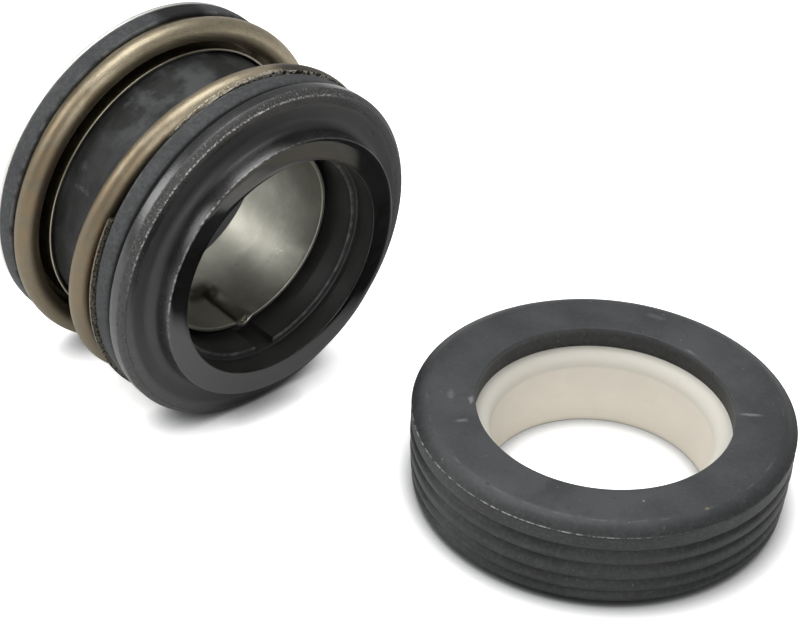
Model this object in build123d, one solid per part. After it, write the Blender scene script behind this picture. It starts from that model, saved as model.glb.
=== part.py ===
from build123d import *
import os
from math import cos, pi, radians, sin

# A component shaft seal for a pump, in millimetres: the rotating head and the stationary seat
# that its nose runs against.  The head lies on its side with its axis along +X and its nose
# towards +X.  The seat lies flat beside it with its axis along +Z and its lapped face down.
# The origin is on the floor, under the middle of the pair.

# ---- driving dimensions of the head, radii from its axis --------------------------------
SHAFT_R = 19.05 / 2          # three-quarter inch shaft
SLEEVE_WALL = 0.4
SLEEVE_R = SHAFT_R + SLEEVE_WALL
HEAD_R = 17.25               # flange of the primary ring, which touches the floor
DISC_R = 16.95               # rear disc of the bellows
PLATE_R = 16.85
NOSE_R = 13.55
NOSE_BORE_R = 11.25
RING_BORE_R = 10.6
BAND_R = 16.9                # rubber band round the tail of the primary ring
CUP_BORE_R = 15.4
TUBE_R = 13.9
TUBE_BORE_R = 12.3
LIP_BORE_R = 10.8
RETAINER_BORE_R = 14.1
RETAINER_R = 14.4
RETAINER_FLANGE_R = 16.5
COIL_R = 16.08               # middle of the wire
WIRE_R = 1.16

# ---- stations of the head, distances behind the nose face -------------------------------
SLEEVE_RIM = 5.5
RING_STEP = 2.5
RING_FACE = 2.4
RING_SEAM = 4.25
RING_TAIL = 6.2
CUP_REAR = 6.9
TUBE_VOID_START = 8.8
TUBE_VOID_END = 14.0
TAIL_GRIP = 15.2
RETAINER_RIM = 16.6
DISC_FRONT = 19.4
DISC_REAR = 21.2
PLATE_REAR = 21.7
SHEET = 0.3                  # thickness of the retainer's metal
SLIP = 0.03                  # gap between pieces that sit on one another

# ---- drive dimple of the sleeve and the slot that it runs in ----------------------------
DRIVE_ANGLE = -87.0          # round the axis, from +Y towards +Z
DIMPLE_R = 0.95
DIMPLE_RISE = 0.5
DIMPLE_LENGTH = 5.0
SLOT_WIDTH = 2.1
SLOT_R = 11.3

# ---- spring: turns are counted from the tip of the wire at the front --------------------
TIP_ANGLE = 153.0
TIP_SIZE = 0.75              # thickness that the grinding leaves at the tip
FRONT_PITCH = 1.45           # of the closed turn
FRONT_TURNS = 0.8
REAR_START = 1.86
TOTAL_TURNS = 2.5
REAR_PITCH = 0.35
CROSSING_EASE = 0.45
POINTS_PER_TURN = 12
SPRING_FRONT = CUP_REAR
SPRING_REAR = DISC_FRONT - SHEET

# ---- driving dimensions of the seat, heights up from the lapped face --------------------
SEAT_R = 18.0                # top crest, pressed into the housing
CREST_RADII = (SEAT_R, 17.93, 17.8, 17.66, 17.5)     # the ribs get smaller towards the foot
SEAT_HOLE_R = 12.07
CERAMIC_R = 15.2
CERAMIC_BORE_R = 10.4
SEAT_HEIGHT = 9.7
CUP_BASE = 0.85
CUP_FOOT = 0.2
CERAMIC_TOP = 7.6
CERAMIC_ROUND = 1.35
SHOULDER_R = 16.8            # where the flat back ends
SHOULDER_ROUND = 0.7
PARTING = 8.75               # height of the mould's parting line, at the foot of the shoulder
GROOVES = (6.86, 5.13, 3.24, 1.75)
GROOVE_DEPTH = 0.42
GROOVE_HALF = 0.45
RIB_ROUND = 0.55

# ---- where the two stand ----------------------------------------------------------------
SEAT_AHEAD = 26.72           # seat's axis in front of the nose face
SEAT_ASIDE = 17.24           # and to the side of the head's axis
HEAD_X = (PLATE_REAR - SEAT_AHEAD - SEAT_R) / 2      # nose face
HEAD_Y = (HEAD_R - SEAT_ASIDE - SEAT_R) / 2
SEAT_X = HEAD_X + SEAT_AHEAD
SEAT_Y = HEAD_Y + SEAT_ASIDE


def chain(points):
    """A closed outline of straight lines through (across, up) points in the XZ plane."""
    return make_face(Polyline(*[(x, 0, z) for x, z in points], close=True))


def turned(outline, bevels=None):
    """The head piece that an outline of (station, radius) points makes, turned about X."""
    face = chain([(-station, radius) for station, radius in outline])
    for vertex_at, size in (bevels or {}).items():
        corner = face.vertices().sort_by_distance((-vertex_at[0], 0, vertex_at[1]))[0]
        face = fillet(corner, size)
    return revolve(face, Axis.X, 360)


def on_head(solid):
    return Pos(HEAD_X, HEAD_Y, HEAD_R) * solid


def around(angle):
    """Turns a piece made above the axis to its place round it."""
    return Rot(angle - 90, 0, 0)


def drive_sleeve():
    bend = 0.8
    body = turned(
        [
            (SLEEVE_RIM, SHAFT_R), (SLEEVE_RIM, SLEEVE_R),
            (DISC_REAR + SLIP, SLEEVE_R), (DISC_REAR + SLIP, PLATE_R),
            (PLATE_REAR, PLATE_R), (PLATE_REAR, SHAFT_R),
        ],
        {(PLATE_REAR, SHAFT_R): bend},
    )
    middle = SLEEVE_R + DIMPLE_RISE - DIMPLE_R
    start = (-SLEEVE_RIM - DIMPLE_LENGTH, 0, middle)
    outside = dimple(start, DIMPLE_R, 0)
    inside = dimple(start, DIMPLE_R - SLEEVE_WALL, SLEEVE_WALL)
    pressed = around(DRIVE_ANGLE) * (outside - Cylinder(SHAFT_R, 60, rotation=(0, 90, 0)))
    return body + pressed - around(DRIVE_ANGLE) * inside


def dimple(start, radius, past_rim):
    """A round-ended rod along the sleeve, from its blind end to the rim."""
    rod = Pos(*start) * Rot(0, 90, 0) * Cylinder(
        radius, DIMPLE_LENGTH + past_rim, align=(Align.CENTER, Align.CENTER, Align.MIN)
    )
    return rod + Pos(*start) * Sphere(radius)


def bellows():
    edge = 0.25
    return turned(
        [
            (RING_SEAM + SLIP, CUP_BORE_R), (RING_SEAM + SLIP, BAND_R),
            (CUP_REAR, BAND_R), (CUP_REAR, TUBE_R),
            (DISC_FRONT, TUBE_R), (DISC_FRONT, DISC_R),
            (DISC_REAR, DISC_R), (DISC_REAR, SLEEVE_R + SLIP),
            (TAIL_GRIP, SLEEVE_R + SLIP), (TUBE_VOID_END, TUBE_BORE_R),
            (TUBE_VOID_START, TUBE_BORE_R), (TUBE_VOID_START, LIP_BORE_R),
            (RING_TAIL + SLIP, LIP_BORE_R), (RING_TAIL + SLIP, CUP_BORE_R),
        ],
        {
            (CUP_REAR, BAND_R): edge, (DISC_FRONT, DISC_R): edge,
            (DISC_REAR, DISC_R): edge, (TUBE_VOID_START, TUBE_BORE_R): 0.8,
        },
    )


def spring_retainer():
    return turned(
        [
            (RETAINER_RIM, RETAINER_BORE_R), (RETAINER_RIM, RETAINER_R),
            (SPRING_REAR, RETAINER_R), (SPRING_REAR, RETAINER_FLANGE_R),
            (DISC_FRONT, RETAINER_FLANGE_R), (DISC_FRONT, RETAINER_BORE_R),
        ]
    )


def primary_ring():
    fillet_r = 0.9
    edge = 0.5
    ring = turned(
        [
            (0, NOSE_BORE_R), (0, NOSE_R), (RING_FACE, NOSE_R),
            (RING_FACE, HEAD_R - edge), (RING_FACE + edge, HEAD_R), (RING_SEAM, HEAD_R),
            (RING_SEAM, CUP_BORE_R - SLIP), (RING_TAIL, CUP_BORE_R - SLIP),
            (RING_TAIL, RING_BORE_R), (RING_STEP, RING_BORE_R), (RING_STEP, NOSE_BORE_R),
        ],
        {(RING_FACE, NOSE_R): fillet_r, (RING_SEAM, HEAD_R): 0.15},
    )
    slot = Pos(-RING_TAIL - 1, 0, 0) * Box(
        RING_TAIL + 1 - RING_STEP, SLOT_WIDTH, SLOT_R, align=(Align.MIN, Align.CENTER, Align.MIN)
    )
    return ring - around(DRIVE_ANGLE) * slot


def wire_station(turns):
    """How far the wire's middle stands behind the nose face, by turns from the front tip."""
    tip = SPRING_FRONT - WIRE_R + TIP_SIZE
    front_end = tip + FRONT_PITCH * FRONT_TURNS
    rear_begin = SPRING_REAR - WIRE_R
    if turns <= FRONT_TURNS:
        return tip + FRONT_PITCH * turns
    if turns >= REAR_START:
        return rear_begin + REAR_PITCH * (turns - REAR_START)
    part = (turns - FRONT_TURNS) / (REAR_START - FRONT_TURNS)
    eased = part - CROSSING_EASE * sin(2 * pi * part) / (2 * pi)
    return front_end + (rear_begin - front_end) * eased


def spring():
    """Left-handed wire, closed at both ends, with both ends ground flat."""
    count = round(TOTAL_TURNS * POINTS_PER_TURN)
    points = []
    for step in range(count + 1):
        turns = TOTAL_TURNS * step / count
        angle = radians(TIP_ANGLE + 360 * turns)
        points.append((-wire_station(turns), COIL_R * cos(angle), COIL_R * sin(angle)))
    path = Spline(*points)
    section = Plane(origin=path @ 0, z_dir=path % 0) * Circle(WIRE_R)
    wire = sweep(section, path=path, is_frenet=True)
    length = SPRING_REAR - SPRING_FRONT
    between = Pos(-SPRING_FRONT - length / 2, 0, 0) * Box(length, 60, 60)
    return wire & between


def rounded(face, corner, size):
    """The outline with its corner nearest to a (radius, height) point rounded."""
    return fillet(face.vertices().sort_by_distance((corner[0], 0, corner[1]))[0], size)


def seat_cup():
    """Rubber cup that holds the ceramic, with ribs round its outside."""
    inner = CERAMIC_R + SLIP
    points = [(SEAT_HOLE_R, CERAMIC_TOP), (SEAT_HOLE_R, SEAT_HEIGHT)]
    points += [(SHOULDER_R, SEAT_HEIGHT), (SEAT_R, PARTING)]
    crests = []
    for groove, upper, lower in zip(GROOVES, CREST_RADII, CREST_RADII[1:]):
        above = (upper, groove + GROOVE_HALF)
        below = (lower, groove - GROOVE_HALF)
        points += [above, (lower - GROOVE_DEPTH, groove), below]
        crests += [above, below]
    points += [(CREST_RADII[-1], CUP_BASE), (inner, CUP_BASE), (inner, CERAMIC_TOP)]
    section = chain(points)
    for crest in crests:
        section = rounded(section, crest, RIB_ROUND)
    section = rounded(section, (CREST_RADII[-1], CUP_BASE), CUP_FOOT)
    section = rounded(section, (SHOULDER_R, SEAT_HEIGHT), SHOULDER_ROUND)
    section = rounded(section, (SEAT_HOLE_R, SEAT_HEIGHT), 0.2)
    return Pos(SEAT_X, SEAT_Y, 0) * revolve(section, Axis.Z, 360)


def seat_ring():
    section = chain(
        [
            (CERAMIC_BORE_R, 0), (CERAMIC_BORE_R, CERAMIC_TOP - SLIP),
            (CERAMIC_R, CERAMIC_TOP - SLIP), (CERAMIC_R, 0),
        ]
    )
    section = rounded(section, (CERAMIC_BORE_R, CERAMIC_TOP), CERAMIC_ROUND)
    outer = section.vertices().sort_by_distance((CERAMIC_R, 0, 0))[0]
    section = chamfer(outer, 0.3)
    return Pos(SEAT_X, SEAT_Y, 0) * revolve(section, Axis.Z, 360)


PIECES = {
    "drive_sleeve": on_head(drive_sleeve()),
    "bellows": on_head(bellows()),
    "spring_retainer": on_head(spring_retainer()),
    "spring": on_head(spring()),
    "primary_ring": on_head(primary_ring()),
    "seat_cup": seat_cup(),
    "seat_ring": seat_ring(),
}

os.makedirs("parts", exist_ok=True)
for name, solid in PIECES.items():
    export_step(solid, f"parts/{name}.step")
    print(name, "valid" if solid.is_valid else "NOT VALID", round(solid.volume, 1))
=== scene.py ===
# %% [markdown]
# # A component shaft seal, dressed for its picture
# A shaft seal for a small pump has two halves.  The head turns with the shaft: a steel sleeve, a
# rubber bellows, a spring with its retainer, and the nose ring.  The seat stays in the housing: a
# ceramic ring in a ribbed rubber cup.  Here the head lies on its side with its nose towards +X, and
# the seat lies flat beside it.  Every piece is round, so nearly every piece is a section that is
# spun about its axis, and the work is in the sections, the edges and the finishes.

# %% Load the frame
import bpy
import bmesh
import math
from mathutils import Matrix, Vector


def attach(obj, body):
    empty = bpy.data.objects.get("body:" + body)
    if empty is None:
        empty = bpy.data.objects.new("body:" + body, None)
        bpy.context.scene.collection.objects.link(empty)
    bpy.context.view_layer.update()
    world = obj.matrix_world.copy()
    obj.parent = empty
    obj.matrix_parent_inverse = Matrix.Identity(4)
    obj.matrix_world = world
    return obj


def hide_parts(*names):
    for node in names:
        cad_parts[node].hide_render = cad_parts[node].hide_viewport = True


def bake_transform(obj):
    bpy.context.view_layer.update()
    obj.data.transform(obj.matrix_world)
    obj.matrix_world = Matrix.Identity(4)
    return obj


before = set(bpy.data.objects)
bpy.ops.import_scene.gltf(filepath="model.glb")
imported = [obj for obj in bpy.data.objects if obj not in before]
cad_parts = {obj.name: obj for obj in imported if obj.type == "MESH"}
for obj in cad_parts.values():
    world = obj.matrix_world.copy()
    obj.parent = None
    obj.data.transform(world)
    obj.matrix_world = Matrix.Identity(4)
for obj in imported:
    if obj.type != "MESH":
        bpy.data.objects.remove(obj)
scene = bpy.context.scene
MM = 0.001


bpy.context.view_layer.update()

# %% [markdown]
# Everything is measured from two points, in millimetres: the middle of the nose face, from which
# the stations of the head are counted backwards, and the middle of the seat on the floor.

# %% Where the two halves stand
NOSE = Vector((-11.51, -8.995, 17.25))
SEAT = Vector((15.21, 8.245, 0.0))
print("nose to seat, mm", (SEAT - NOSE).length)

# %% [markdown]
# The camera is a long lens, so the circles stay true.  It looks down over the right shoulder of
# the head and is rolled a few degrees.  Its place is given from the nose, its turn as the three
# directions of its picture.

# %% Camera
camera_data = bpy.data.cameras.new("camera")
camera = bpy.data.objects.new("camera", camera_data)
scene.collection.objects.link(camera)
scene.camera = camera
camera_data.lens = 190.6
camera_data.sensor_width = 36.0
camera_data.clip_end = 10.0
picture_right = Vector((0.65737, 0.7506, 0.06678))
picture_down = Vector((0.48406, -0.35269, -0.80081))
picture_in = Vector((-0.57754, 0.55875, -0.59519))
from_nose = Vector((236.24, -212.99, 231.61))
turn = Matrix((picture_right, -picture_down, -picture_in)).transposed().to_4x4()
camera.matrix_world = Matrix.Translation((NOSE + from_nose) * MM) @ turn
scene.view_settings.view_transform = "Standard"
print("camera stands at", camera.location)

# %% [markdown]
# Shader maths reads best as plain sums.  Flow wraps a socket, so that a + b or 1 - a adds the Math
# node that does it.  Finish holds one material and adds any other node with a single method.

# %% A socket that can be added and multiplied


class Flow:
    def __init__(self, finish, socket):
        self.finish, self.socket = finish, socket

    def maths(self, operation, *others):
        values = {0: self}
        values.update({place + 1: other for place, other in enumerate(others)})
        return self.finish.put("Math", {"operation": operation}, values)

    def __add__(self, other):
        return self.maths("ADD", other)

    def __mul__(self, other):
        return self.maths("MULTIPLY", other)

    def __sub__(self, other):
        return self.maths("SUBTRACT", other)

    def __rsub__(self, other):
        return self.finish.put("Math", {"operation": "SUBTRACT"}, {0: other, 1: self})

    def __truediv__(self, other):
        return self.maths("DIVIDE", other)

    __radd__ = __add__
    __rmul__ = __mul__

    def clear_of(self, middle):
        """How far the value is from a middle, either way."""
        return (self - middle).maths("ABSOLUTE")

    def smooth(self, low, high):
        """0 below low, 1 above high, soft between; low may be the larger, which turns it round."""
        return self.finish.put(
            "MapRange",
            {"interpolation_type": "SMOOTHSTEP"},
            {"Value": self, "From Min": low, "From Max": high},
        )

    def band(self, middle, half, soft):
        """1 within half of the middle, 0 past it, soft at the sides."""
        return self.clear_of(middle).smooth(half + soft, half)


# %% A material and its nodes
class Finish:
    def __init__(self, name, centre):
        self.material = bpy.data.materials.new(name)
        self.material.use_nodes = True
        self.tree = self.material.node_tree
        self.shader = self.tree.nodes["Principled BSDF"]
        place = self.tree.nodes.new("ShaderNodeTexCoord").outputs["Object"]
        self.place = self.put(
            "Mapping",
            {},
            {"Vector": Flow(self, place), "Location": -centre, "Scale": (1000,) * 3},
        )
        parts = self.put("SeparateXYZ", {}, {0: self.place}).socket.node
        self.x, self.y, self.z = [Flow(self, parts.outputs[i]) for i in range(3)]

    def put(self, kind, settings, values, out=0):
        node = self.tree.nodes.new("ShaderNode" + kind)
        for key, setting in settings.items():
            setattr(node, key, setting)
        for key, value in values.items():
            socket = node.inputs[key]
            if isinstance(value, Flow):
                self.tree.links.new(value.socket, socket)
            else:
                socket.default_value = value
        return Flow(self, node.outputs[out])

    def vector(self, x, y, z):
        return self.put("CombineXYZ", {}, {0: x, 1: y, 2: z})

    def noise(self, scale, detail=3.0, where=None, rough=0.55, warp=0.0):
        where = where or self.place
        values = {"Vector": where, "Scale": scale, "Detail": detail, "Roughness": rough}
        values["Distortion"] = warp
        return self.put("TexNoise", {}, values)

    def blend(self, share, first, second):
        """Colour that goes from the first to the second as share goes from 0 to 1."""
        node = self.tree.nodes.new("ShaderNodeMix")
        node.data_type = "RGBA"
        for place, value in ((0, share), (6, first), (7, second)):
            socket = node.inputs[place]
            if isinstance(value, Flow):
                self.tree.links.new(value.socket, socket)
            else:
                socket.default_value = value if socket.type == "VALUE" else (*value, 1)
        return Flow(self, node.outputs[2])

    def set(self, **values):
        """Values or flows for the shader's own sockets, named with _ for a space."""
        for name, value in values.items():
            socket = self.shader.inputs[name.replace("_", " ")]
            if isinstance(value, Flow):
                self.tree.links.new(value.socket, socket)
            elif socket.type == "RGBA":
                socket.default_value = (*value, 1)
            else:
                socket.default_value = value

    def relief(self, height, distance):
        """Bump from a height flow, whose full step is distance in millimetres."""
        values = {"Height": height, "Distance": distance * MM, "Strength": 1.0}
        normal = self.put("Bump", {}, values)
        self.set(Normal=normal)


print("shader helpers ready")

# %% [markdown]
# A turned piece is a section on one side of its axis.  The section starts as a flat face, its
# corners are rounded one by one, the face is taken away, and the ring of edges that is left is
# spun right round.  Rounded corners matter more than anything else here, because each one draws
# the thin light line that makes a small hard part look real.

# %% A section, spun
HEAD_AXIS, SEAT_AXIS = "head", "seat"
DRIVE_ANGLE = -87.0          # of the dimple and its slot, round the head from +Y towards +Z


def at_section(axis, along, radius):
    if axis == HEAD_AXIS:
        return Vector((NOSE.x - along, NOSE.y, NOSE.z + radius)) * MM
    return Vector((SEAT.x + radius, SEAT.y, SEAT.z + along)) * MM


def spin_section(axis, corners, steps, long_cut=None):
    """Spins corners given as (along, radius, rounding); long_cut is the longest edge left."""
    shape = bmesh.new()
    verts = [shape.verts.new(at_section(axis, a, r)) for a, r, _ in corners]
    shape.faces.new(verts)
    for vert, (_, _, rounding) in zip(verts, corners):
        if rounding:
            bmesh.ops.bevel(
                shape, geom=[vert], affect="VERTICES", offset=rounding * MM,
                segments=5, profile=0.5, material=-1,
            )
    bmesh.ops.delete(shape, geom=shape.faces[:], context="FACES_ONLY")
    if long_cut:
        for edge in [e for e in shape.edges if e.calc_length() > long_cut * MM]:
            cuts = int(edge.calc_length() / (long_cut * MM))
            bmesh.ops.subdivide_edges(shape, edges=[edge], cuts=cuts)
    centre = (NOSE if axis == HEAD_AXIS else SEAT) * MM
    bmesh.ops.spin(
        shape, geom=shape.verts[:] + shape.edges[:], cent=centre,
        axis=(1, 0, 0) if axis == HEAD_AXIS else (0, 0, 1),
        angle=2 * math.pi, steps=steps, use_merge=True,
    )
    return shape


def piece_from(shape, name, sharp=38):
    """Closes the mesh, turns its faces outwards, shades it smooth but for its sharp edges."""
    bmesh.ops.remove_doubles(shape, verts=shape.verts, dist=1e-7)
    bmesh.ops.recalc_face_normals(shape, faces=shape.faces)
    for face in shape.faces:
        face.smooth = True
    for edge in shape.edges:
        edge.smooth = edge.calc_face_angle(0) < math.radians(sharp)
    open_edges = sum(1 for e in shape.edges if not e.is_manifold)
    mesh = bpy.data.meshes.new(name)
    shape.to_mesh(mesh)
    shape.free()
    piece = bpy.data.objects.new(name, mesh)
    scene.collection.objects.link(piece)
    print(name, len(mesh.polygons), "faces,", open_edges, "open edges")
    return piece


def round_the_head(vert):
    """Station, radius and angle of a vertex round the head's axis, in mm and degrees."""
    place = vert.co / MM - NOSE
    return -place.x, math.hypot(place.y, place.z), math.degrees(math.atan2(place.z, place.y))


def off_the_drive(radius, angle):
    """How far a place lies from the line of the drive dimple, in mm round the head."""
    return math.radians(abs((angle - DRIVE_ANGLE + 180) % 360 - 180)) * radius


def push_out(vert, distance):
    """Moves a vertex of the head away from its axis by a distance in mm."""
    on_axis = Vector((vert.co.x, NOSE.y * MM, NOSE.z * MM))
    vert.co += (vert.co - on_axis).normalized() * distance * MM


# %% [markdown]
# ## The seat
# A ring of white alumina is held in a rubber cup.  The cup is pressed into the pump with its ribs,
# so the ribs are soft bulges with narrow grooves between them.  A fin as thin as paper runs round
# the shoulder, where the two halves of the mould met.

# %% Seat cup
GROOVES = (6.86, 5.13, 3.24, 1.75)     # heights of their bottoms
MOULD_LINE = 8.75
seat_cup = piece_from(
    spin_section(
        SEAT_AXIS,
        [
            (7.6, 12.07, 0), (9.7, 12.07, 0.16), (9.7, 16.8, 0.62), (8.86, 17.82, 0.1),
            (8.79, 17.9, 0), (8.75, 18.0, 0), (8.70, 17.9, 0), (7.32, 17.97, 0.26),
            (6.86, 17.47, 0.05), (6.4, 17.92, 0.28), (5.6, 17.91, 0.28),
            (5.13, 17.35, 0.05), (4.68, 17.79, 0.28), (3.7, 17.78, 0.28),
            (3.24, 17.22, 0.05), (2.78, 17.65, 0.24), (2.2, 17.63, 0.24),
            (1.75, 17.1, 0.05), (1.32, 17.48, 0.18), (0.85, 17.42, 0.2),
            (0.85, 15.22, 0), (7.6, 15.22, 0),
        ],
        steps=300,
    ),
    "seat_cup_rubber",
)
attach(seat_cup, "tail_and_seat")
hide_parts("seat_cup")

# %% Seat ring
seat_ring = piece_from(
    spin_section(
        SEAT_AXIS,
        [
            (0, 10.4, 0.12), (7.57, 10.4, 1.3), (7.57, 15.19, 0.2), (0, 15.19, 0.3),
        ],
        steps=240,
    ),
    "seat_ring_ceramic",
)
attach(seat_ring, "tail_and_seat")
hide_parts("seat_ring")

# %% [markdown]
# ## The nose ring
# The nose ring is moulded from carbon-filled resin and its narrow front is lapped flat.  A wide
# flange behind it has a broken, speckled edge where the mould's flash was knocked off.  Inside,
# a slot takes the drive dimple of the sleeve.

# %% Primary ring
SLOT_BORE_R, SLOT_START, SLOT_HALF, SLOT_DEPTH = 11.2, 2.35, 1.05, 0.65
ring_shape = spin_section(
    HEAD_AXIS,
    [
        (0, 11.25, 0.08), (0, 13.55, 0.06), (2.4, 13.75, 0.85), (2.36, 16.72, 0.05),
        (2.62, 17.02, 0.08), (2.95, 17.25, 0.15), (4.22, 17.22, 0.3), (4.27, 15.38, 0),
        (6.2, 15.37, 0), (6.2, 10.6, 0.1), (2.5, 10.6, 0.12), (2.42, 11.25, 0.1),
    ],
    steps=360, long_cut=0.6,
)
for vert in ring_shape.verts:
    station, radius, angle = round_the_head(vert)
    in_slot = off_the_drive(radius, angle) < SLOT_HALF
    if radius < SLOT_BORE_R and station > SLOT_START and in_slot:
        push_out(vert, SLOT_DEPTH)
primary_ring = piece_from(ring_shape, "nose_ring")
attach(primary_ring, "nose")
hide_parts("primary_ring")

# %% [markdown]
# ## The bellows
# One rubber moulding: a disc at the tail, a tube that grips the sleeve, and a cup that holds the
# tail of the nose ring.  It has to follow the nose when the seal is pressed together, and its tube
# is cut into many rings of vertices.

# %% Bellows
bellows = piece_from(
    spin_section(
        HEAD_AXIS,
        [
            (4.3, 15.4, 0), (4.32, 16.1, 0.1), (4.95, 16.9, 0.3),
            (6.45, 16.9, 0.2), (6.9, 16.52, 0.1), (6.9, 13.9, 0.4),
            (19.4, 13.9, 0.15), (19.4, 16.95, 0.28), (21.2, 16.95, 0.32),
            (21.2, 9.96, 0.1), (15.2, 9.96, 0.1), (14.0, 12.3, 0.5), (8.8, 12.3, 0.6),
            (8.8, 10.8, 0.1), (6.23, 10.8, 0.05), (6.23, 15.4, 0),
        ],
        steps=256, long_cut=0.7,
    ),
    "bellows_rubber",
)
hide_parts("bellows")
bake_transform(bellows)

# %% [markdown]
# ## The metal of the head
# The drive sleeve is thin drawn tube with a plate turned up behind the rubber.  A long dimple is
# pressed outwards at its rim and runs in the slot of the nose ring.  The retainer is a thin ring
# that keeps the spring off the tube.

# %% Drive sleeve
DIMPLE_HALF, DIMPLE_RISE, DIMPLE_END = 1.15, 0.5, 11.2
sleeve_shape = spin_section(
    HEAD_AXIS,
    [
        (5.5, 9.525, 0.1), (5.5, 9.925, 0.1), (21.23, 9.925, 0), (21.23, 16.85, 0.1),
        (21.7, 16.85, 0.12), (21.7, 9.525, 0.7),
    ],
    steps=360, long_cut=0.3,
)
for vert in sleeve_shape.verts:
    station, radius, angle = round_the_head(vert)
    off = off_the_drive(radius, angle) / DIMPLE_HALF
    past = max(0.0, station - DIMPLE_END + 1.0)
    spread = math.hypot(off, past)
    if radius < 10 and spread < 1:
        push_out(vert, DIMPLE_RISE * (0.5 + 0.5 * math.cos(math.pi * spread)))
sleeve = piece_from(sleeve_shape, "drive_sleeve_steel")
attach(sleeve, "tail_and_seat")
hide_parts("drive_sleeve")

# %% Spring retainer
retainer = piece_from(
    spin_section(
        HEAD_AXIS,
        [
            (16.6, 14.1, 0.1), (16.6, 14.4, 0.12), (19.1, 14.4, 0), (19.1, 16.5, 0.1),
            (19.39, 16.5, 0.1), (19.39, 14.1, 0.15),
        ],
        steps=256,
    ),
    "retainer_steel",
)
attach(retainer, "tail_and_seat")
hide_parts("spring_retainer")

# %% [markdown]
# ## The spring
# The wire is closed at both ends and ground flat there, so the front shows a long crescent that
# starts at a blunt tip.  A circle is spun about the axis in small steps, and each step also moves
# back by the pitch of that place, so one tool makes the closed turns and the open crossing.  Two
# planes then cut the ends flat.

# %% Spring
COIL_R, WIRE_R = 16.08, 1.16
TIP_ANGLE, TIP_SIZE = 153.0, 0.75
SPRING_FRONT, SPRING_REAR = 6.9, 19.1
FRONT_TURNS, REAR_START, TOTAL_TURNS = 0.8, 1.86, 2.5
FRONT_PITCH, REAR_PITCH, CROSSING_EASE = 1.45, 0.35, 0.45
STEPS_PER_TURN = 180


def wire_station(turns):
    tip = SPRING_FRONT - WIRE_R + TIP_SIZE
    front_end = tip + FRONT_PITCH * FRONT_TURNS
    if turns <= FRONT_TURNS:
        return tip + FRONT_PITCH * turns
    if turns >= REAR_START:
        return SPRING_REAR - WIRE_R + REAR_PITCH * (turns - REAR_START)
    part = (turns - FRONT_TURNS) / (REAR_START - FRONT_TURNS)
    eased = part - CROSSING_EASE * math.sin(2 * math.pi * part) / (2 * math.pi)
    return front_end + (SPRING_REAR - WIRE_R - front_end) * eased


wire = bmesh.new()
bmesh.ops.create_circle(wire, cap_ends=True, segments=40, radius=WIRE_R * MM)
stand_up = Matrix.Rotation(math.radians(TIP_ANGLE), 4, "X") @ Matrix.Translation(
    Vector((-wire_station(0), COIL_R, 0)) * MM
)
bmesh.ops.transform(wire, matrix=Matrix.Translation(NOSE * MM) @ stand_up, verts=wire.verts)
last = wire.faces[:]
for step in range(round(TOTAL_TURNS * STEPS_PER_TURN)):
    back = wire_station((step + 1) / STEPS_PER_TURN) - wire_station(step / STEPS_PER_TURN)
    made = bmesh.ops.spin(
        wire, geom=last, cent=NOSE * MM, axis=(1, 0, 0), dvec=(-back * MM, 0, 0),
        angle=2 * math.pi / STEPS_PER_TURN, steps=1, use_duplicate=False,
    )
    last = made["geom_last"]
for station, direction in ((SPRING_FRONT, 1), (SPRING_REAR, -1)):
    cut = bmesh.ops.bisect_plane(
        wire, geom=wire.verts[:] + wire.edges[:] + wire.faces[:], dist=1e-7,
        plane_co=(NOSE.x * MM - station * MM, 0, 0), plane_no=(direction, 0, 0), clear_outer=True,
    )
    rim = [g for g in cut["geom_cut"] if isinstance(g, bmesh.types.BMEdge)]
    bmesh.ops.edgenet_fill(wire, edges=rim)
spring = piece_from(wire, "spring_wire", sharp=30)
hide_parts("spring")
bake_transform(spring)

# %% [markdown]
# ## Finishes
# Every pattern here goes round with its piece, so each finish first works out how far along the
# axis a point lies, how far from the axis, and at which angle.  Noise that is stretched round the
# axis uses the direction from the axis instead of the angle, which leaves no seam behind.

# %% Round coordinates for a finish
class RoundFinish(Finish):
    def __init__(self, name, axis):
        super().__init__(name, NOSE if axis == HEAD_AXIS else SEAT)
        if axis == HEAD_AXIS:
            self.across, self.up, self.along = self.y, self.z, self.x * -1.0
        else:
            self.across, self.up, self.along = self.x, self.y, self.z
        self.radius = (self.across * self.across + self.up * self.up).maths("SQRT")
        self.angle = self.up.maths("ARCTAN2", self.across)

    def from_angle(self, degrees):
        """Degrees round from a given angle, -180 to 180."""
        return (self.angle * (180 / math.pi) - degrees).maths("WRAP", 180.0, -180.0)

    def near(self, degrees, half, soft):
        return self.from_angle(degrees).maths("ABSOLUTE").smooth(half + soft, half)

    def round_noise(self, round_scale, across_scale, along_scale, detail=3.0):
        """Noise drawn out round the axis: a small round_scale makes long streaks."""
        share = self.radius.maths("MAXIMUM", 0.1)
        reach = self.radius * across_scale
        where = self.vector(
            self.across / share * round_scale + reach,
            self.up / share * round_scale,
            self.along * along_scale,
        )
        return self.noise(1.0, detail, where)

    def stroke(self, radius, degrees, half_wide, half_degrees):
        """A smear on a flat face, soft and broken at its edges."""
        grain = self.noise(1.7, 6, warp=1.2) * 1.3
        wide = (self.radius - radius) / half_wide
        turned = self.from_angle(degrees) / half_degrees
        spread = (wide * wide + turned * turned).maths("SQRT") + grain
        return spread.smooth(1.6, 0.8)


def lit(colour, times):
    return tuple(channel * times for channel in colour)


def coat(piece, finish):
    piece.data.materials.append(finish.material)
    print(finish.material.name, "has", len(finish.tree.nodes), "nodes")
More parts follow.
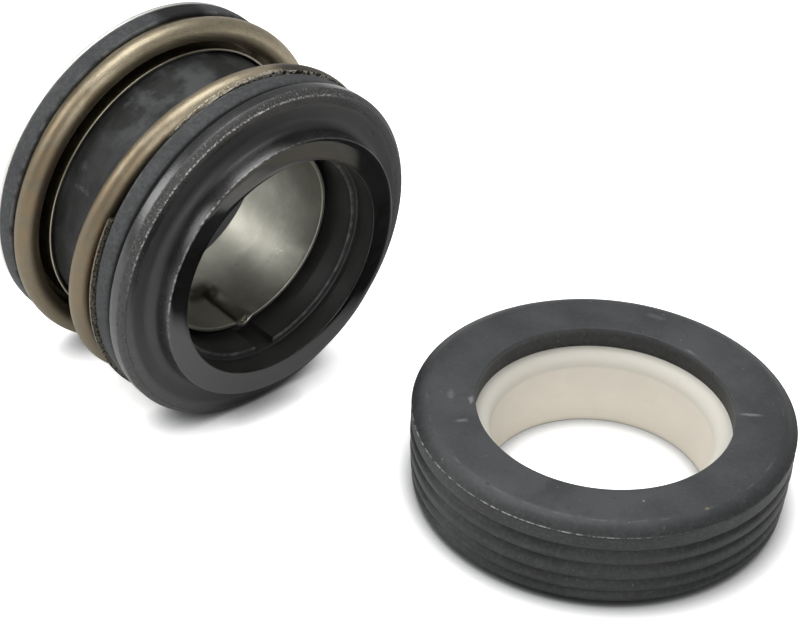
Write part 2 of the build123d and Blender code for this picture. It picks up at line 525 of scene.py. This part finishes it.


# %% [markdown]
# ### Rubber of the seat
# Moulded rubber is slate grey where it blooms and darker where hands and the mould have rubbed it.
# The flat back has bloomed most; the ribs stay nearly black.  The mould line is a fin that has been
# torn off in places, so it shows as bright dashes.  Painted shade darkens the lower side of each
# rib and a line under the fin.

# %% Seat rubber
SLATE, RIB_BLACK = (0.066, 0.07, 0.074), (0.016, 0.017, 0.017)
rubber = RoundFinish("seat_rubber", SEAT_AXIS)
cloud = rubber.noise(0.16, 4, warp=0.6)
grain = rubber.noise(2.6, 5)
bloom = rubber.along.smooth(8.9, 9.62)
flat_colour = rubber.blend(cloud.smooth(0.3, 0.7), lit(SLATE, 0.62), lit(SLATE, 1.08))
rib_colour = rubber.blend(rubber.noise(0.5, 5).smooth(0.3, 0.75), RIB_BLACK, lit(RIB_BLACK, 1.5))
# Painted shade: the lower side of each rib is darkened down into its groove.
for groove in GROOVES:
    groove_shade = rubber.along.smooth(groove + 0.95, groove - 0.05)
    groove_shade = groove_shade * rubber.along.smooth(groove - 0.4, groove - 0.1)
    rib_colour = rubber.blend(groove_shade * 0.6, rib_colour, (0.008, 0.008, 0.008))
colour = rubber.blend(bloom, rib_colour, flat_colour)
colour = rubber.blend(grain.smooth(0.42, 0.78) * 0.35, colour, lit(SLATE, 1.35))
dark_fleck = rubber.noise(1.3, 6).smooth(0.6, 0.72) * rubber.along.band(9.1, 0.45, 0.3)
colour = rubber.blend(dark_fleck * 0.8, colour, (0.02, 0.021, 0.02))
fin = rubber.along.band(MOULD_LINE, 0.03, 0.03) * rubber.radius.smooth(17.6, 17.8)
torn = rubber.round_noise(30.0, 0.0, 0.0, 6).smooth(0.42, 0.64)
fin_light = rubber.near(-82.0, 28.0, 34.0) * 0.75 + 0.12
# A painted shadow: a dark line just under the mould fin.
shade_under_fin = rubber.along.band(8.6, 0.06, 0.08) * rubber.radius.smooth(17.5, 17.7)
colour = rubber.blend(shade_under_fin * 0.7, colour, (0.008, 0.008, 0.008))
colour = rubber.blend(fin * torn * fin_light, colour, (0.36, 0.36, 0.35))
edge_line = rubber.radius.band(16.62, 0.07, 0.08) * rubber.along.smooth(9.55, 9.66)
edge_line = edge_line * rubber.round_noise(9.0, 0.0, 0.0, 4).smooth(0.45, 0.7)
colour = rubber.blend(edge_line * 0.5, colour, lit(SLATE, 2.2))
scuffs = rubber.stroke(13.5, 48.4, 1.5, 1.3) * 0.55
for radius, degrees, wide, long, strength in (
    (13.75, -117.8, 0.9, 1.5, 0.4),
    (12.5, -131.0, 0.35, 3.4, 0.6),
    (14.4, -134.0, 0.5, 4.5, 0.25),
    (13.9, -29.1, 0.16, 0.7, 0.9),
    (15.4, 118.0, 0.5, 5.0, 0.2),
    (12.4, 96.0, 0.2, 5.0, 0.4),
):
    scuffs = scuffs.maths("MAXIMUM", rubber.stroke(radius, degrees, wide, long) * strength)
scuffs = scuffs * rubber.along.smooth(9.5, 9.68)
colour = rubber.blend(scuffs, colour, (0.34, 0.34, 0.35))
rust = rubber.stroke(16.55, -9.8, 0.22, 1.1) * rubber.along.smooth(9.3, 9.6)
colour = rubber.blend(rust * 0.8, colour, (0.30, 0.24, 0.12))
pit = rubber.stroke(16.5, -83.7, 0.25, 1.0) * rubber.along.smooth(9.3, 9.6)
colour = rubber.blend(pit * 0.7, colour, (0.02, 0.02, 0.02))
dust = rubber.noise(1.9, 2).smooth(0.735, 0.77)
colour = rubber.blend(dust * 0.6, colour, (0.3, 0.3, 0.3))
rubber.set(Base_Color=colour, Roughness=cloud * 0.25 + 0.4)
rubber.relief(grain * 0.7 + rubber.noise(7.0, 3) * 0.3 - pit, 0.035)
coat(seat_cup, rubber)

# %% [markdown]
# ### Ceramic
# Alumina is a warm white.  The bore is ground, the rounded lip keeps the duller skin of firing, and
# handling leaves faint grey marks.  A painted shade darkens the foot of the ring.

# %% Seat ceramic
WARM_WHITE, LIP_WHITE = (0.96, 0.905, 0.80), (0.83, 0.80, 0.715)
ceramic = RoundFinish("seat_ceramic", SEAT_AXIS)
mottle = ceramic.noise(0.35, 4)
lip = ceramic.along.smooth(6.15, 6.45) + 0.02 * mottle
colour = ceramic.blend(mottle.smooth(0.3, 0.7), lit(WARM_WHITE, 0.97), WARM_WHITE)
colour = ceramic.blend(lip, colour, LIP_WHITE)
ground = ceramic.round_noise(1.2, 0.0, 9.0, 4)
colour = ceramic.blend(ground.smooth(0.55, 0.8) * 0.12, colour, (0.55, 0.52, 0.46))
smudge = ceramic.noise(0.9, 5).smooth(0.62, 0.8) * 0.1
colour = ceramic.blend(smudge, colour, (0.4, 0.37, 0.32))
# Painted shade darkens the foot of the ring, where it stands on the floor.
foot_shade = ceramic.along.smooth(0.5, 0.0) * 0.35
colour = ceramic.blend(foot_shade, colour, (0.45, 0.43, 0.38))
ceramic.set(Base_Color=colour, Roughness=mottle * 0.15 + 0.42, Specular_IOR_Level=0.35)
ceramic.relief(ground, 0.004)
coat(seat_ring, ceramic)

# %% [markdown]
# ### Resin of the nose ring
# Carbon-filled resin is black.  The lapped nose is glossy enough to mirror what lies in front of
# it.  The moulded flanks are satin, and where the flash was broken off, the edge is speckled with
# torn filler.  Glints on the upper left of that edge, of the flash ridge, the nose edge and the
# bore step are painted highlights, and painted shade darkens the fillet behind the nose.

# %% Ring resin
BLACK_RESIN = (0.008, 0.008, 0.0077)
resin = RoundFinish("ring_resin", HEAD_AXIS)
cloud = resin.noise(0.3, 4, warp=0.4)
fine = resin.noise(4.5, 4)
colour = resin.blend(cloud.smooth(0.35, 0.7), BLACK_RESIN, lit(BLACK_RESIN, 2.1))
lapped = resin.along.smooth(0.05, 0.01)
colour = resin.blend(lapped, colour, (0.004, 0.004, 0.0036))
chamfer = resin.radius.smooth(16.55, 16.75) * resin.along.smooth(3.15, 2.95)
sparkle = resin.noise(5.0, 3).smooth(0.54, 0.66)
colour = resin.blend(chamfer * 0.55, colour, (0.045, 0.045, 0.043))
# The chamfer is speckled with torn filler; its bright flecks are painted glints, strongest on the
# upper left.
glint_side = resin.near(110.0, 40.0, 25.0) * 0.65 + 0.1
colour = resin.blend(chamfer * sparkle * glint_side, colour, (0.33, 0.33, 0.31))
pitted = resin.near(-160.0, 60.0, 25.0) * resin.noise(4.0, 4).smooth(0.5, 0.58)
colour = resin.blend(chamfer * pitted * 0.9, colour, (0.003, 0.003, 0.003))
torn = resin.noise(3.4, 6, warp=0.6).smooth(0.44, 0.6)
ragged = resin.radius + resin.round_noise(20.0, 0.0, 0.0, 5) * 0.16
ridge = ragged.band(16.82, 0.045, 0.07) * resin.along.smooth(2.75, 2.6)
# The torn flash on the ridge is painted brighter on the upper left, as a highlight where the light
# falls.
ridge_highlight_side = resin.near(115.0, 32.0, 30.0) * 0.85 + 0.04
colour = resin.blend(ridge * torn * ridge_highlight_side, colour, (0.8, 0.79, 0.75))
rim = resin.along.band(3.6, 0.6, 0.3) * resin.radius.smooth(17.0, 17.1)
drag = resin.round_noise(5.0, 0.0, 7.0, 4).smooth(0.5, 0.75)
colour = resin.blend(rim * drag * 0.35, colour, (0.12, 0.12, 0.12))
# Worn nose and bore edges, painted lighter most on the upper left as a highlight.
nose_edge = resin.radius.band(13.53, 0.05, 0.05) * resin.along.smooth(0.22, 0.1)
edge_wear_and_highlight = resin.noise(2.2, 6).smooth(0.38, 0.66)
edge_wear_and_highlight = edge_wear_and_highlight * (resin.near(140.0, 30.0, 30.0) * 0.6 + 0.1)
colour = resin.blend(nose_edge * edge_wear_and_highlight, colour, (0.42, 0.42, 0.4))
bore_edge = resin.radius.band(11.25, 0.05, 0.04) * resin.along.smooth(0.2, 0.08)
colour = resin.blend(bore_edge * edge_wear_and_highlight * 0.4, colour, (0.25, 0.25, 0.24))
# A painted highlight along the edge of the step in the bore.
step_edge = resin.along.band(2.5, 0.05, 0.06) * resin.radius.smooth(10.95, 10.8)
step_highlight = resin.noise(1.2, 5).smooth(0.4, 0.7) * 0.8 + 0.1
colour = resin.blend(step_edge * step_highlight, colour, (0.13, 0.13, 0.125))
inside = resin.radius.smooth(11.4, 11.2) * resin.along.smooth(0.1, 0.3)
specks = resin.noise(3.2, 2).smooth(0.72, 0.76)
colour = resin.blend(specks * 0.5, colour, (0.2, 0.2, 0.19))
nick = resin.stroke(15.2, 35.6, 0.32, 1.9) * resin.along.band(2.4, 0.15, 0.1)
colour = resin.blend(nick * 0.9, colour, (0.004, 0.004, 0.004))
chalk = resin.stroke(15.6, 152.0, 0.5, 2.2) * resin.along.band(2.4, 0.2, 0.1)
colour = resin.blend(chalk * 0.3, colour, (0.12, 0.12, 0.12))
# Painted shade darkens the fillet between the flange and the nose, which is also made rougher.
fillet_shade = resin.radius.band(14.7, 0.8, 0.5) * resin.along.smooth(1.2, 1.8)
colour = resin.blend(fillet_shade * 0.8, colour, (0.0025, 0.0025, 0.0025))
gloss = 0.2 + cloud * 0.14 + chamfer * 0.25 - lapped * 0.18 + inside * 0.25 + fillet_shade * 0.3
resin.set(Base_Color=colour, Roughness=gloss, IOR=1.74)
height = fine * (1.0 - lapped) * 0.35 + sparkle * chamfer * 2.5 - nick * 3.0 + ridge * torn * 2.0
resin.relief(height, 0.03)
coat(primary_ring, resin)

# %% [markdown]
# ### Rubber of the bellows
# The tube is black and shiny, with a few chalky smears where the retainer and fingers have passed.
# The disc and the band round the cup have the grey bloom that old rubber gets, and pale edges.
# Painted shade darkens the groove in front of the band and a leaf-shaped gap behind the spring.

# %% Bellows rubber
TUBE_BLACK, DISC_SLATE = (0.016, 0.017, 0.016), (0.072, 0.075, 0.077)
skin = RoundFinish("bellows_rubber", HEAD_AXIS)
cloud = skin.noise(0.22, 5, warp=0.8)
grain = skin.noise(2.4, 5)
outer = skin.radius.smooth(14.4, 15.2)
tube_colour = skin.blend(cloud.smooth(0.35, 0.72), TUBE_BLACK, lit(TUBE_BLACK, 2.0))
drawn = skin.round_noise(4.0, 0.0, 1.1, 5)
tube_colour = skin.blend(drawn.smooth(0.5, 0.8) * 0.5, tube_colour, (0.06, 0.062, 0.064))
disc_colour = skin.blend(grain.smooth(0.3, 0.7), lit(DISC_SLATE, 0.72), lit(DISC_SLATE, 1.22))
disc_colour = skin.blend(cloud.smooth(0.4, 0.75) * 0.5, disc_colour, lit(DISC_SLATE, 0.6))
colour = skin.blend(outer, tube_colour, disc_colour)
front_lip = skin.along.band(19.4, 0.1, 0.12) * skin.radius.smooth(16.55, 16.7)
rear_lip = skin.along.band(21.12, 0.1, 0.12) * skin.radius.smooth(16.6, 16.8)
worn = skin.round_noise(16.0, 0.5, 0.5, 5).smooth(0.38, 0.62)
colour = skin.blend((front_lip * 0.35 + rear_lip * 0.25) * worn, colour, (0.3, 0.31, 0.31))
band_ridge = skin.along.band(6.62, 0.16, 0.12) * skin.radius.smooth(16.5, 16.7)
colour = skin.blend(band_ridge * worn * 0.35, colour, (0.2, 0.21, 0.21))
# Painted shade in the groove between the band and the flange.
band_groove_shade = skin.along.smooth(4.95, 4.75) * skin.radius.smooth(15.8, 16.0)
colour = skin.blend(band_groove_shade * 0.85, colour, (0.012, 0.012, 0.012))
# A leaf-shaped painted shadow on the band, where the gap behind the spring's ground end lies in
# shade.
leaf_shadow_wide = skin.near(79.0, 6.0, 7.0)
leaf_shadow = skin.along.smooth(6.42, 6.6) * leaf_shadow_wide * skin.radius.smooth(15.5, 16.0)
colour = skin.blend(leaf_shadow * 0.9, colour, (0.008, 0.008, 0.008))
smears, wisps = None, skin.noise(1.3, 6, warp=1.5)
for along, degrees, half, half_degrees, strength in (
    (15.2, 147.0, 0.9, 3.6, 0.8),
    (14.2, 155.0, 1.6, 2.0, 0.7),
    (13.0, 128.0, 0.4, 12.0, 0.4),
    (15.6, 117.0, 0.5, 7.0, 0.5),
    (14.6, 109.0, 0.3, 5.0, 0.6),
):
    wide = (skin.along - along) / half
    turned = skin.from_angle(degrees) / half_degrees
    spread = (wide * wide + turned * turned).maths("SQRT") + wisps * 2.2
    smear = spread.smooth(1.9, 1.1) * strength
    smears = smear if smears is None else smears.maths("MAXIMUM", smear)
haze = skin.round_noise(4.5, 0.0, 0.35, 6).smooth(0.44, 0.66)
smears = smears.maths("MAXIMUM", haze * (skin.near(98.0, 22.0, 22.0) * 0.55 + 0.1))
colour = skin.blend(smears * (1.0 - outer), colour, (0.105, 0.112, 0.115))
skin.set(Base_Color=colour, Roughness=0.5 + outer * 0.1 + grain * 0.12, Specular_IOR_Level=0.3)
skin.relief(grain * 0.8 + skin.noise(6.5, 3) * 0.4 + cloud * (1.0 - outer) * 2.0, 0.035)
coat(bellows, skin)

# %% [markdown]
# ### Spring wire
# Drawn spring wire keeps a bronze brown skin with fine streaks that run along it.  The ground ends
# are bright, but coarse grinding has left them chipped; their glints on the upper side are painted
# highlights, and painted shade darkens the left side of the coil.

# %% Spring steel
BRONZE, BROWN, BRIGHT = (0.47, 0.415, 0.305), (0.38, 0.32, 0.225), (0.82, 0.78, 0.68)
RUSSET = (0.25, 0.19, 0.12)
steel = RoundFinish("spring_steel", HEAD_AXIS)
streak = steel.round_noise(22.0, 6.0, 6.0, 6)
patch = steel.noise(0.35, 4, warp=0.5)
speck = steel.noise(8.0, 4)
colour = steel.blend(streak.smooth(0.3, 0.68), BROWN, BRONZE)
colour = steel.blend(patch.smooth(0.42, 0.7) * 0.55, colour, lit(BROWN, 1.25))
colour = steel.blend(speck.smooth(0.56, 0.7) * 0.5, colour, lit(BRONZE, 1.6))
colour = steel.blend(speck.smooth(0.42, 0.3) * 0.5, colour, lit(BROWN, 0.5))
# Painted shade: the left side of the coil is darker brown and a little rougher.
shaded_side = steel.near(190.0, 36.0, 40.0)
colour = steel.blend(shaded_side * 0.8, colour, lit(BROWN, 0.42))
blush = steel.noise(0.45, 5, warp=0.6).smooth(0.4, 0.62)
blush = blush * (steel.near(160.0, 28.0, 28.0) * 0.6 + 0.12)
colour = steel.blend(blush, colour, RUSSET)
flat = steel.along.smooth(6.95, 6.92) + steel.along.smooth(19.05, 19.08)
burr = steel.along.band(7.0, 0.1, 0.08) * steel.noise(3.5, 4).smooth(0.42, 0.58)
# The chipped ground ends and burr are painted brighter on the upper side, as glints; lower down the
# chips are finer and dark.
lit_top_side = steel.near(95.0, 30.0, 25.0)
chips = steel.noise(2.3, 6, warp=0.8) * lit_top_side + steel.noise(5.5, 4) * (1.0 - lit_top_side)
top_glint = lit_top_side * 0.75 + 0.2
ground_colour = steel.blend(chips.smooth(0.47, 0.56) * top_glint, (0.05, 0.043, 0.03), BRIGHT)
leaving = steel.near(45.0, 26.0, 8.0) * steel.along.smooth(10.5, 9.5)
colour = steel.blend(leaving * 0.85, colour, (0.07, 0.068, 0.06))
colour = steel.blend(flat, colour, ground_colour)
colour = steel.blend(burr * (1.0 - leaving) * (lit_top_side * 0.5 + 0.2), colour, BRIGHT)
dull = 0.4 + streak * 0.08 + flat * 0.04 + shaded_side * 0.06
steel.set(Base_Color=colour, Roughness=dull, Metallic=1.0)
steel.relief(streak * 0.3 + speck * 0.6 + chips * (flat + burr) * 3.0, 0.03)
coat(spring, steel)

# %% [markdown]
# ### Stainless sleeve and retainer
# The sleeve was bored on a lathe, so faint lines run round it, and painted shade darkens the hollow
# of the dimple and the retainer's wall under the spring.  The edges of the thin pressings are bare
# bright metal.

# %% Stainless steel
# The second colour is the painted shade in the hollow of the dimple.
STEEL, DIMPLE_SHADE = (0.335, 0.33, 0.283), (0.045, 0.039, 0.026)
METAL_END = 15.45            # station where the bare metal of the bore ends


def stainless(name, colour, roughness):
    finish = RoundFinish(name, HEAD_AXIS)
    lines = finish.round_noise(1.0, 3.0, 14.0, 4)
    stain = finish.noise(0.2, 5, warp=0.3)
    base = finish.blend(lines.smooth(0.3, 0.7), lit(colour, 0.92), lit(colour, 1.05))
    base = finish.blend(stain.smooth(0.38, 0.68) * 0.5, base, lit(colour, 0.6))
    bloom = finish.noise(0.26, 6, rough=0.65, warp=0.2).smooth(0.45, 0.75)
    base = finish.blend(bloom * 0.45, base, lit(colour, 1.6))
    fleck = finish.noise(1.7, 5).smooth(0.66, 0.74)
    base = finish.blend(fleck * 0.4, base, lit(colour, 0.35))
    rough = roughness + stain * 0.14 + lines * 0.08
    finish.set(Metallic=1.0, Roughness=rough)
    finish.relief(lines * 0.6 + fleck * 0.4, 0.006)
    return finish, base, rough


sleeve_finish, base, sleeve_roughness = stainless("stainless", STEEL, 0.34)
# Painted shade darkens the hollow of the dimple and a pool at its end, broken up by noise.
smear = sleeve_finish.noise(0.6, 4).smooth(0.1, 0.5)
shade_pool = sleeve_finish.near(-93.0, 6.0, 8.0) * sleeve_finish.along.band(11.2, 0.5, 1.2)
in_dimple = sleeve_finish.near(DRIVE_ANGLE, 4.0, 4.0) * sleeve_finish.along.smooth(12.0, 11.0)
dimple_shade = shade_pool.maths("MAXIMUM", in_dimple * 0.85) * sleeve_finish.radius.smooth(10.8, 10.6)
base = sleeve_finish.blend(dimple_shade * smear * 0.9, base, DIMPLE_SHADE)
worn_lip = sleeve_finish.near(DRIVE_ANGLE, 3.5, 2.0) * sleeve_finish.along.smooth(6.3, 5.7)
worn_lip = worn_lip * sleeve_finish.noise(3.0, 4).smooth(0.42, 0.56)
base = sleeve_finish.blend(worn_lip, base, (0.9, 0.84, 0.7))
rim = sleeve_finish.along.smooth(5.66, 5.58)
base = sleeve_finish.blend(rim * 0.6, base, (0.6, 0.58, 0.5))
scratch = sleeve_finish.near(-41.0, 0.8, 2.2) * sleeve_finish.along.band(8.8, 0.4, 0.6)
scratch = scratch * sleeve_finish.noise(6.0, 5).smooth(0.5, 0.66)
base = sleeve_finish.blend(scratch * 0.45, base, (0.75, 0.7, 0.62))
plate = sleeve_finish.along.smooth(21.15, 21.25) * sleeve_finish.radius.smooth(9.7, 10.1)
drawn_out = sleeve_finish.vector(sleeve_finish.across * 0.4, sleeve_finish.up * 6.0, 0.0)
rolled = sleeve_finish.noise(1.0, 5, drawn_out)
plate_colour = sleeve_finish.blend(rolled.smooth(0.3, 0.7), (0.42, 0.415, 0.4), (0.56, 0.55, 0.53))
tarnish = sleeve_finish.noise(0.3, 6, rough=0.65).smooth(0.45, 0.7)
plate_colour = sleeve_finish.blend(tarnish * 0.4, plate_colour, (0.3, 0.29, 0.26))
bright_rim = sleeve_finish.radius.smooth(16.55, 16.7)
plate_colour = sleeve_finish.blend(bright_rim, plate_colour, (0.82, 0.81, 0.78))
base = sleeve_finish.blend(plate, base, plate_colour)
# Behind this station the bore is coloured near black and is not metallic; the bare metal shows in
# front of it.
dark_bore_behind = sleeve_finish.along.smooth(METAL_END - 0.04, METAL_END + 0.04)
dark_bore_behind = dark_bore_behind * sleeve_finish.radius.smooth(9.75, 9.65)
dark_bore_behind = dark_bore_behind * sleeve_finish.along.smooth(21.6, 21.3)
base = sleeve_finish.blend(dark_bore_behind, base, (0.009, 0.009, 0.009))
sleeve_finish.set(Base_Color=base, Metallic=1.0 - dark_bore_behind)
skin_rough = sleeve_roughness + dark_bore_behind * 0.15 + plate * (rolled * 0.12)
sleeve_finish.set(Roughness=skin_rough)
coat(sleeve, sleeve_finish)

retainer_finish, base, _ = stainless("stainless_thin", (0.42, 0.39, 0.31), 0.24)
# Painted shade darkens the retainer's wall under the spring, mottled by noise.
wall = retainer_finish.along.smooth(16.7, 16.8) * retainer_finish.radius.smooth(14.3, 14.38)
shade_mottle = retainer_finish.noise(0.7, 5).smooth(0.35, 0.65)
under_spring_shade = retainer_finish.blend(shade_mottle, (0.1, 0.087, 0.055), (0.16, 0.14, 0.09))
base = retainer_finish.blend(wall * 0.95, base, under_spring_shade)
retainer_finish.set(Base_Color=base)
coat(retainer, retainer_finish)

# %% [markdown]
# ## Floor, backdrop and light
# The floor is white paper with a wall of the same paper far behind.  To the camera and to shiny
# surfaces it also glows a little, so it stays pure white but for a narrow shade where the seal
# nearly touches it.  One lamp to the left and behind draws the highlights, one above and behind
# lights the tops, and a dim white room does the rest.

# %% Floor
CONTACT_SHADE = 4.2          # how far the shade reaches, in mm
ROOM_R, WALL_HEIGHT = 2.0, 1.2
floor_shape = bmesh.new()
bmesh.ops.create_circle(floor_shape, cap_ends=True, segments=96, radius=ROOM_R)
floor = piece_from(floor_shape, "floor")
wall_shape = bmesh.new()
low, high = [wall_shape.verts.new((ROOM_R, 0, z)) for z in (0.0, WALL_HEIGHT)]
wall_shape.edges.new((low, high))
bmesh.ops.spin(
    wall_shape, geom=wall_shape.verts[:] + wall_shape.edges[:], cent=(0, 0, 0), axis=(0, 0, 1),
    angle=2 * math.pi, steps=96, use_merge=True,
)
wall = piece_from(wall_shape, "backdrop")

paper = Finish("white_paper", Vector((0, 0, 0)))
ray = paper.tree.nodes.new("ShaderNodeLightPath").outputs
to_eye = Flow(paper, ray["Is Camera Ray"])
shown = to_eye
for other in ("Is Glossy Ray", "Is Transmission Ray"):
    shown = shown.maths("MAXIMUM", Flow(paper, ray[other]))
openness = paper.put("AmbientOcclusion", {"samples": 16}, {"Distance": CONTACT_SHADE * MM}, out=1)
clear = openness.smooth(0.2, 0.97)
white = paper.blend(clear, (0.13, 0.135, 0.14), (1.0, 1.0, 1.0))
strength = clear * (to_eye * 0.7 + 0.15)
glow = paper.put("Emission", {}, {"Color": (1.0, 1.0, 1.0, 1.0), "Strength": strength})
lifted = paper.put("AddShader", {}, {0: paper.put("BsdfDiffuse", {}, {"Color": white}), 1: glow})
plain = paper.put("BsdfDiffuse", {}, {"Color": (0.8, 0.8, 0.8, 1.0)})
surface = paper.put("MixShader", {}, {0: shown, 1: plain, 2: lifted})
paper.tree.links.new(surface.socket, paper.tree.nodes["Material Output"].inputs[0])
for stage in (floor, wall):
    stage.data.materials.append(paper.material)
print("floor and backdrop of", paper.material.name)

# %% World and lamps
world = bpy.data.worlds.new("studio")
scene.world = world
world.use_nodes = True
room = world.node_tree.nodes["Background"]
room.inputs["Color"].default_value = (1, 1, 1, 1)
room.inputs["Strength"].default_value = 0.28


def softbox(name, spot, side, share):
    """A square lamp at spot, in mm from the middle, that lights the middle to a share of full."""
    data = bpy.data.lights.new(name, "AREA")
    lamp = bpy.data.objects.new(name, data)
    scene.collection.objects.link(lamp)
    place = Vector(spot) * MM
    data.size = side * MM
    data.energy = share * math.pi ** 2 * place.length_squared
    lamp.location = place
    lamp.rotation_euler = (-place).to_track_quat("-Z", "Y").to_euler()


softbox("key", (-290, -330, 260), 240, 0.34)
softbox("above", (-110, 20, 470), 320, 0.5)
softbox("fill", (330, -200, 260), 260, 0.25)
print("lamps ready")
